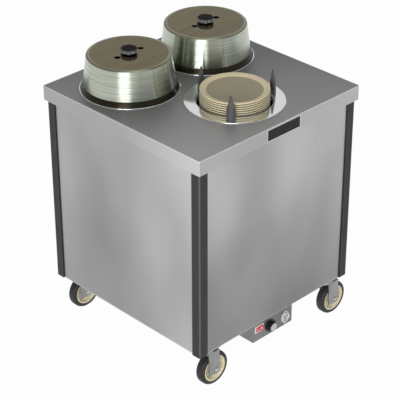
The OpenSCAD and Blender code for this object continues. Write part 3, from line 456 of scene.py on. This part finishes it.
# %% Power inlet
INLET_COLOR = (0.60, 0.60, 0.59)
INLET_FLANGE = (0.46, 0.46, 0.455)
PIN_COLOR = (0.50, 0.47, 0.40)
FLANGE_T = 0.002
COLLAR_R = 0.017
RECESS_R = 0.0142
inlet_low, inlet_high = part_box("power_inlet")
inlet_middle = (inlet_low + inlet_high) / 2
box_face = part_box("control_box")[0].y
pins_from = box_face - FLANGE_T - 0.0003


def inlet_plastic():
    r = Recipe("inlet_plastic", INLET_COLOR, 0.32)
    flat = r.node("ShaderNodeVectorMath", {0: r.coords, 1: (1.0, 0.0, 1.0)}, operation="MULTIPLY")
    ends = {0: flat.outputs["Vector"], 1: (inlet_middle.x, 0, inlet_middle.z)}
    from_axis = r.node("ShaderNodeVectorMath", ends, operation="DISTANCE").outputs["Value"]
    is_pin = r.times(r.math("LESS_THAN", from_axis, RECESS_R), r.math("LESS_THAN", r.place("Y"), pins_from))
    is_flange = r.spread(from_axis, 0.0, 1.0, COLLAR_R, COLLAR_R + 0.0006)
    slow = r.noise(r.coords, 18.0, 2.0, 0.5)
    body = r.mix(is_flange, INLET_COLOR, INLET_FLANGE)
    r.feed("Base Color", r.shade(r.mix(is_pin, body, PIN_COLOR), r.spread(slow, 0.94, 1.06)))
    r.feed("Metallic", is_pin)
    r.feed("Roughness", r.spread(slow, 0.26, 0.38))
    r.bump(r.noise(r.coords, 1000.0, 2.0, 0.5), 0.00003, 0.5)
    return r.material


finishes["inlet_plastic"] = inlet_plastic()
print("inlet at", tuple(round(v, 4) for v in inlet_middle))

# %% [markdown]
# The plates are glazed china. Glaze is a clear coat over a warm body, and it pools slightly, so the coat
# carries the gloss and a very shallow, slow bump bends it. Faint specks keep the body from looking
# painted. The well of the top plate is painted a deeper tone than its rim, as shade, and the stacked
# edges are painted greyer, as the shade between the stacked plates.

# %% China
CHINA_COLOR = (0.66, 0.575, 0.37)
# The edge colour and the well's tone are painted shade.
EDGE_SHADE_COLOR = (0.515, 0.475, 0.330)
EDGE_R = 0.115
WELL_R = 0.096
WELL_FADE = 0.002
WELL_SHADE = 0.47
plates_low, plates_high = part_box("plates")
plate_axis = ((plates_low + plates_high) / 2).xy.to_3d() + Vector((0, 0, plates_high.z))
edge_full = plates_high.z - 0.007
edge_to = plates_high.z - 0.004


def china():
    r = Recipe("china", CHINA_COLOR, 0.45)
    specks = r.noise(r.coords, 900.0, 1.0, 0.5)
    body = r.noise(r.coords, 9.0, 2.0, 0.5)
    ends = {0: r.coords, 1: plate_axis}
    from_axis = r.node("ShaderNodeVectorMath", ends, operation="DISTANCE").outputs["Value"]
    well = r.spread(from_axis, WELL_SHADE, 1.0, WELL_R - WELL_FADE, WELL_R + WELL_FADE)
    tone = r.times(r.times(r.spread(specks, 0.97, 1.02), r.spread(body, 0.96, 1.04)), well)
    is_edge = r.times(r.spread(r.place("Z"), 1.0, 0.0, edge_full, edge_to),
                      r.math("GREATER_THAN", from_axis, EDGE_R))
    r.feed("Base Color", r.shade(r.mix(is_edge, CHINA_COLOR, EDGE_SHADE_COLOR), tone))
    r.shader.inputs["Coat Weight"].default_value = 0.15
    r.shader.inputs["Coat Roughness"].default_value = 0.1
    r.bump(body, 0.0003, 0.3)
    return r.material


finishes["china"] = china()
print("finishes", len(finishes))

# %% [markdown]
# Each CAD node keeps its own mesh and takes the finish that the record names for it, or a finish of its
# own in one case. The mesh arrives as loose flat triangles. Welding them, merging the flat ones and
# rounding the sharp edges by a fraction of a millimetre, all with modifiers, makes edges catch the light
# as real ones do. The mesh itself stays as the CAD has it.

# %% Finish the CAD nodes
OWN_FINISH = {"power_inlet": "inlet_plastic"}
EDGE_ROUND = {"deck": 0.0006, "control_box": 0.0015, "rocker": 0.0006}
DEFAULT_ROUND = 0.0004
WELD_GAP = 0.00001
FLAT_ANGLE = math.radians(0.6)
SHARP_ANGLE = math.radians(24)


def round_edges(piece, width):
    """Welds a triangle mesh, merges its flat faces and rounds its sharp edges, as live modifiers."""
    for face in piece.data.polygons:
        face.use_smooth = True
    weld = piece.modifiers.new("weld", "WELD")
    weld.merge_threshold = WELD_GAP
    flat = piece.modifiers.new("flat", "DECIMATE")
    flat.decimate_type = "DISSOLVE"
    flat.angle_limit = FLAT_ANGLE
    rounded = piece.modifiers.new("rounded", "BEVEL")
    rounded.width = width
    rounded.segments = 2
    rounded.limit_method = "ANGLE"
    rounded.angle_limit = SHARP_ANGLE
    piece.modifiers.new("even", "WEIGHTED_NORMAL")


slot_of = {part["node"]: part["material_slot"] for part in frame["record"]["subparts"]}
for name, node in nodes.items():
    node.data.materials.clear()
    node.data.materials.append(finishes[OWN_FINISH.get(name, slot_of[name])])
    round_edges(node, EDGE_ROUND.get(name, DEFAULT_ROUND))
print("finished", len(nodes), "CAD nodes")

# %% [markdown]
# The small pieces that only matter to the eye are new meshes, and most of them are flat slabs: a plate, a
# printed line, a slot. One helper turns a finished mesh into an object that rides on its body, one shapes
# a slab, and one places a slab on a face that looks forward. A slab is a cube with its upright edges
# rounded and the rest just softened, because a perfectly sharp edge never catches the light.

# %% Helpers for the small pieces


def add_piece(name, bm, slot, body, finish=None):
    """Makes an object of bm, smooth but for its sharp edges, and lets it ride on a body. Its finish is
    the slot's own unless another is named."""
    for face in bm.faces:
        face.smooth = True
    for edge in bm.edges:
        edge.smooth = edge.calc_face_angle(0) < SHARP_ANGLE
    mesh = bpy.data.meshes.new(name)
    bm.to_mesh(mesh)
    bm.free()
    piece = bpy.data.objects.new(name, mesh)
    scene.collection.objects.link(piece)
    mesh.materials.append(finishes[finish or slot])
    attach(piece, body)
    return piece


def rounded_slab(low, high, corner, soften=0.0002):
    """A slab between two corners. The edges that run along its thinnest side are rounded by corner, and
    the rest are softened."""
    bm = bmesh.new()
    bmesh.ops.create_cube(bm, size=1)
    size = high - low
    bmesh.ops.scale(bm, vec=size, verts=bm.verts)
    bmesh.ops.translate(bm, vec=(low + high) / 2, verts=bm.verts)
    thin = min(range(3), key=lambda axis: size[axis])
    posts = [e for e in bm.edges if abs((e.verts[0].co - e.verts[1].co)[thin]) > size[thin] / 2]
    bmesh.ops.bevel(bm, geom=posts, offset=corner, offset_type="OFFSET", segments=4, profile=0.5,
                    affect="EDGES", material=-1)
    rest = [e for e in bm.edges if e.calc_face_angle(0) > 1]
    bmesh.ops.bevel(bm, geom=rest, offset=soften, offset_type="OFFSET", segments=1, profile=0.5,
                    affect="EDGES", material=-1)
    return bm


def front_slab(low, high, face_y, thick, corner):
    """A slab on a face that looks toward -Y, between two corners whose y is ignored."""
    return rounded_slab(Vector((low.x, face_y - thick, low.z)), Vector((high.x, face_y, high.z)), corner)


# %% [markdown]
# The nameplate is a thin printed plate, so it needs no CAD node. It is left bare: a dark field in a fine
# bright border. Each layer is a slab that stands a little prouder than the one below it, which is simpler
# than an image and stays crisp from any distance.

# %% Nameplate
NAMEPLATE_LOW = Vector((-0.072, 0, 0.874))
NAMEPLATE_HIGH = Vector((0.085, 0, 0.917))
NAMEPLATE_T = 0.0006
FIELD_RISE = 0.0001
BORDER = Vector((0.0016, 0, 0.0016))
flange_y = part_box("deck")[0].y
finishes["plate_black"] = moulding("plate_black", (0.010, 0.010, 0.010), 0.35, 0.0008, 0.00001, shine=0.15)
finishes["plate_bright"] = bright_metal("plate_bright", (0.85, 0.85, 0.85), 0.25, 0.05)
border = front_slab(NAMEPLATE_LOW, NAMEPLATE_HIGH, flange_y, NAMEPLATE_T, 0.0015)
add_piece("nameplate", border, "cap_metal", "cabinet", "plate_bright")
field = front_slab(NAMEPLATE_LOW + BORDER, NAMEPLATE_HIGH - BORDER, flange_y, NAMEPLATE_T + FIELD_RISE, 0.001)
add_piece("nameplate_field", field, "black_plastic", "cabinet", "plate_black")
print("nameplate in front of y", round(flange_y, 4))

# %% [markdown]
# The plates in the photograph nest about 8 mm apart. A plate is a turned shape, so its half section is
# drawn once and spun round the silo's axis, and the stack is copies of it. The rim is rounded by a bevel
# after the spin, which is easier to control than points on an arc.

# %% Plates
PLATE_COUNT = 9
PLATE_H = 0.015
RIM_T = 0.0048
RIM_ROUND = 0.0020
SPIN_STEPS = 96
TINY = 0.0001
plate_r = (plates_high.x - plates_low.x) / 2
pitch = (plates_high.z - plates_low.z - PLATE_H) / (PLATE_COUNT - 1)
# Radius and height, from the middle of the underside round the rim to the middle of the well
half_section = [(0, 0.0018), (0.062, 0.0018), (0.062, 0), (0.066, 0), (0.066, 0.0018), (0.093, 0.0018),
                (0.098, 0.0053), (plate_r, PLATE_H - RIM_T), (plate_r, PLATE_H), (0.098, 0.0098),
                (0.093, pitch - TINY), (0, pitch - TINY)]

bm = bmesh.new()
corners = [bm.verts.new((radius, 0, height)) for radius, height in half_section]
outline = [bm.edges.new(pair) for pair in zip(corners, corners[1:])]
bmesh.ops.spin(bm, geom=corners + outline, cent=(0, 0, 0), axis=(0, 0, 1), dvec=(0, 0, 0),
               angle=2 * math.pi, steps=SPIN_STEPS, use_merge=True, use_duplicate=False)
bmesh.ops.remove_doubles(bm, verts=bm.verts, dist=TINY / 100)
bmesh.ops.recalc_face_normals(bm, faces=bm.faces)
rim_edges = [e for e in bm.edges if all(v.co.xy.length > plate_r - TINY for v in e.verts)
             and abs(e.verts[0].co.z - e.verts[1].co.z) < TINY]
bmesh.ops.bevel(bm, geom=rim_edges, offset=RIM_ROUND, offset_type="OFFSET", segments=3, profile=0.5,
                affect="EDGES", material=-1)
plate = bm.verts[:] + bm.edges[:] + bm.faces[:]
for number in range(1, PLATE_COUNT):
    copied = bmesh.ops.duplicate(bm, geom=plate)["geom"]
    copied = [v for v in copied if isinstance(v, bmesh.types.BMVert)]
    bmesh.ops.translate(bm, vec=(0, 0, number * pitch), verts=copied)
bmesh.ops.translate(bm, vec=(plate_axis.x, plate_axis.y, plates_low.z), verts=bm.verts)
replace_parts(add_piece("china_plates", bm, "china", "plate_stack"), "plates")
print(PLATE_COUNT, "plates, one every", round(pitch * 1000, 2), "mm")

# %% [markdown]
# The controls carry a few small marks that are too fine for the CAD model. The rocker has the plain line
# and ring that mean on and off. They lie on its two slopes, so each is made flat and upright first, and
# then turned with the slope and with the rocker's rest position in one matrix. Its numbers are the CAD
# model's: where the hinge is, how far it is tipped, and how steep the slopes are.

# %% Marks on the rocker
MARK_T = 0.00015
LINE_HALF = Vector((0.0008, MARK_T, 0.0042))
RING_OUT = 0.0038
RING_IN = 0.0025
HINGE_DEPTH = 0.003
REST_TILT = math.radians(-7)
SLOPE = math.atan2(0.002, 0.016)
MARK_OFF = 0.0085
MARK_OUT = 0.00706


def flat_ring(outer, inner, thick):
    """A flat ring about the origin that faces -Y."""
    bm = bmesh.new()
    for radius in (outer, inner):
        bmesh.ops.create_circle(bm, radius=radius, segments=32)
    bmesh.ops.bridge_loops(bm, edges=bm.edges)
    bmesh.ops.solidify(bm, geom=bm.faces[:], thickness=thick)
    bmesh.ops.recalc_face_normals(bm, faces=bm.faces)
    bmesh.ops.rotate(bm, matrix=Matrix.Rotation(math.radians(90), 3, "X"), verts=bm.verts)
    return bm


frame_low, frame_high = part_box("switch_frame")
switch_middle = (frame_low + frame_high) / 2
tipped = (Matrix.Translation((switch_middle.x, box_face + HINGE_DEPTH, switch_middle.z))
          @ Matrix.Rotation(REST_TILT, 4, "Z"))
line_mark = rounded_slab(-LINE_HALF, LINE_HALF, 0.0001, 0.00005)
ring_mark = flat_ring(RING_OUT, RING_IN, 2 * MARK_T)
for name, side, mark in (("rocker_line", -1, line_mark), ("rocker_ring", 1, ring_mark)):
    on_slope = Matrix.Translation((side * MARK_OFF, -MARK_OUT, 0)) @ Matrix.Rotation(-side * SLOPE, 4, "Z")
    bmesh.ops.transform(mark, matrix=tipped @ on_slope, verts=mark.verts)
    add_piece(name, mark, "white_plastic", "rocker")
print("rocker marks about", tuple(round(v, 4) for v in switch_middle))

# %% [markdown]
# The dial's pointer is a printed line on its metal cap, between the middle and the edge. It is straight
# up at rest and turns with the dial.

# %% Pointer on the dial
POINTER_HALF = 0.0007
POINTER_FROM = 0.006
POINTER_GAP = 0.0012
cap_low, cap_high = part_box("thermostat_cap")
cap_middle = (cap_low + cap_high) / 2
pointer_low = Vector((cap_middle.x - POINTER_HALF, 0, cap_middle.z + POINTER_FROM))
pointer_high = Vector((cap_middle.x + POINTER_HALF, 0, cap_high.z - POINTER_GAP))
pointer = front_slab(pointer_low, pointer_high, cap_low.y, MARK_T, 0.0002)
add_piece("dial_pointer", pointer, "black_plastic", "dial")
print("pointer", round((pointer_high.z - pointer_low.z) * 1000, 1), "mm long")

# %% [markdown]
# A screw sits in each ear of the inlet's flange. A head is a low cone with a softened edge, and its cross
# slot is painted shade: two thin dark slabs on top, which at this size look the same as a slot cut into it.

# %% Screws in the inlet
EAR_OFF = 0.021
HEAD_R = 0.0034
HEAD_TOP_R = 0.0026
HEAD_H = 0.0016
HEAD_SOFT = 0.0003
CROSS = (0.0034, 0.0007)
heads = bmesh.new()
for side in (-1, 1):
    head = bmesh.ops.create_cone(heads, cap_ends=True, segments=24, radius1=HEAD_R, radius2=HEAD_TOP_R,
                                 depth=HEAD_H)
    spot = (inlet_middle.x, box_face - FLANGE_T - HEAD_H / 2, inlet_middle.z + side * EAR_OFF)
    bmesh.ops.transform(heads, matrix=Matrix.Translation(spot) @ Matrix.Rotation(math.radians(90), 4, "X"),
                        verts=head["verts"])
soft = [e for e in heads.edges if e.calc_face_angle(0) > 0.6]
bmesh.ops.bevel(heads, geom=soft, offset=HEAD_SOFT, offset_type="OFFSET", segments=2, profile=0.5,
                affect="EDGES", material=-1)
add_piece("inlet_screws", heads, "cap_metal", "cabinet")
# The cross is painted shade: dark slabs where a slot would be.
for name, side in (("inlet_cross_low", -1), ("inlet_cross_high", 1)):
    middle = Vector((inlet_middle.x, 0, inlet_middle.z + side * EAR_OFF))
    for number, (wide, tall) in enumerate((CROSS, CROSS[::-1])):
        reach = Vector((wide / 2, 0, tall / 2))
        bar = front_slab(middle - reach, middle + reach, box_face - FLANGE_T - 0.0015, MARK_T, 0.0001)
        add_piece(f"{name}_{number}", bar, "black_plastic", "cabinet")
print("screws", 2 * EAR_OFF * 1000, "mm apart")

# %% [markdown]
# The studio is a white floor in a pale room. The room is white at the horizon and greyer above it, so
# metal that faces up reads darker than metal that faces out, as on the real cart. Two round windows of
# light have no hard edge: the one at the left draws the upright streak on each cover, and the one behind
# is what the rings mirror. Each window is a direction, how near to it the light starts, as a cosine, and
# how bright its middle is.

# %% Room
ROOM_TONE = 0.36
HORIZON_BAND = 0.25
WINDOWS = [((-4.2, -2.9, 0.5), 0.935, 7.0), ((0.62, 0.58, 0.50), 0.90, 0.36)]


def between(tree, factor, low, high, full=1.0):
    """low where factor is 0, and high where it is full or more."""
    made = tree.nodes.new("ShaderNodeMapRange")
    made.inputs["From Max"].default_value = full
    made.inputs["To Min"].default_value = low
    made.inputs["To Max"].default_value = high
    tree.links.new(factor, made.inputs["Value"])
    return made.outputs["Result"]


world = bpy.data.worlds.new("studio")
world.use_nodes = True
scene.world = world
background = world.node_tree.nodes["Background"]
background.inputs["Color"].default_value = (1, 1, 1, 1)
direction = world.node_tree.nodes.new("ShaderNodeTexCoord").outputs["Generated"]
height = world.node_tree.nodes.new("ShaderNodeSeparateXYZ")
world.node_tree.links.new(direction, height.inputs["Vector"])
strength = between(world.node_tree, height.outputs["Z"], 1.0, ROOM_TONE, HORIZON_BAND)
for way, edge, glow in WINDOWS:
    toward = world.node_tree.nodes.new("ShaderNodeVectorMath")
    toward.operation = "DOT_PRODUCT"
    toward.inputs[1].default_value = Vector(way).normalized()
    world.node_tree.links.new(direction, toward.inputs[0])
    window = world.node_tree.nodes.new("ShaderNodeMapRange")
    window.interpolation_type = "SMOOTHERSTEP"
    window.inputs["From Min"].default_value = edge
    window.inputs["To Max"].default_value = glow
    world.node_tree.links.new(toward.outputs["Value"], window.inputs["Value"])
    total = world.node_tree.nodes.new("ShaderNodeMath")
    world.node_tree.links.new(strength, total.inputs[0])
    world.node_tree.links.new(window.outputs["Result"], total.inputs[1])
    strength = total.outputs[0]
world.node_tree.links.new(strength, background.inputs["Strength"])
print("room with", len(WINDOWS), "windows")

# %% [markdown]
# The floor mixes a lit surface with a glow. The lit part carries the shadow under the cart, and the glow
# keeps it faint and the rest white. Only rays that come straight from the camera, or by way of a mirror
# or glass, meet the glow, so the floor doesn't light the cart from below, and metal still sees the same
# white floor as the camera does.

# %% Floor
FLOOR_SIZE = 12
FLOOR_WHITE = (0.86, 0.86, 0.86)
FLOOR_GLOW = 0.97


def seen_directly(tree):
    """1 for rays from the camera and from mirrors and glass, and 0 for the rest."""
    path = tree.nodes.new("ShaderNodeLightPath")
    total = path.outputs["Is Camera Ray"]
    for name in ("Is Glossy Ray", "Is Transmission Ray"):
        larger = tree.nodes.new("ShaderNodeMath")
        larger.operation = "MAXIMUM"
        tree.links.new(total, larger.inputs[0])
        tree.links.new(path.outputs[name], larger.inputs[1])
        total = larger.outputs[0]
    return total


floor_mesh = bpy.data.meshes.new("floor")
bm = bmesh.new()
bmesh.ops.create_grid(bm, x_segments=1, y_segments=1, size=FLOOR_SIZE)
bm.to_mesh(floor_mesh)
bm.free()
floor = bpy.data.objects.new("floor", floor_mesh)
scene.collection.objects.link(floor)

floor_material = bpy.data.materials.new("floor")
floor_material.use_nodes = True
tree = floor_material.node_tree
surface = tree.nodes["Principled BSDF"]
surface.inputs["Base Color"].default_value = (*FLOOR_WHITE, 1)
surface.inputs["Roughness"].default_value = 0.9
glow = tree.nodes.new("ShaderNodeEmission")
blend = tree.nodes.new("ShaderNodeMixShader")
tree.links.new(between(tree, seen_directly(tree), 0.0, FLOOR_GLOW), blend.inputs["Fac"])
tree.links.new(surface.outputs[0], blend.inputs[1])
tree.links.new(glow.outputs[0], blend.inputs[2])
tree.links.new(blend.outputs[0], tree.nodes["Material Output"].inputs["Surface"])
floor_mesh.materials.append(floor_material)
print("floor", FLOOR_SIZE * 2, "m across")

# %% [markdown]
# Three soft boxes light the cart: a key from the left, a weaker one from the camera's side, and a wide
# one overhead. The first two stay out of mirrors, because the window does their work there, and its soft
# edge looks better in metal than the outline of a lamp.

# %% Lamps


def soft_box(name, place, aim, width, height, watts, mirrored=True):
    data = bpy.data.lights.new(name, "AREA")
    data.shape = "RECTANGLE"
    data.size = width
    data.size_y = height
    data.energy = watts
    lamp = bpy.data.objects.new(name, data)
    lamp.location = place
    lamp.rotation_euler = (Vector(aim) - Vector(place)).to_track_quat("-Z", "Y").to_euler()
    lamp.visible_glossy = mirrored
    scene.collection.objects.link(lamp)


AIM = (0, 0, 0.6)
soft_box("key", (-4.2, -2.7, 1.5), AIM, 2.1, 2.6, 110, mirrored=False)
soft_box("fill", (-1.6, -4.0, 2.2), AIM, 1.6, 1.6, 24, mirrored=False)
soft_box("top", (0.0, -0.2, 3.6), AIM, 1.8, 1.8, 12)
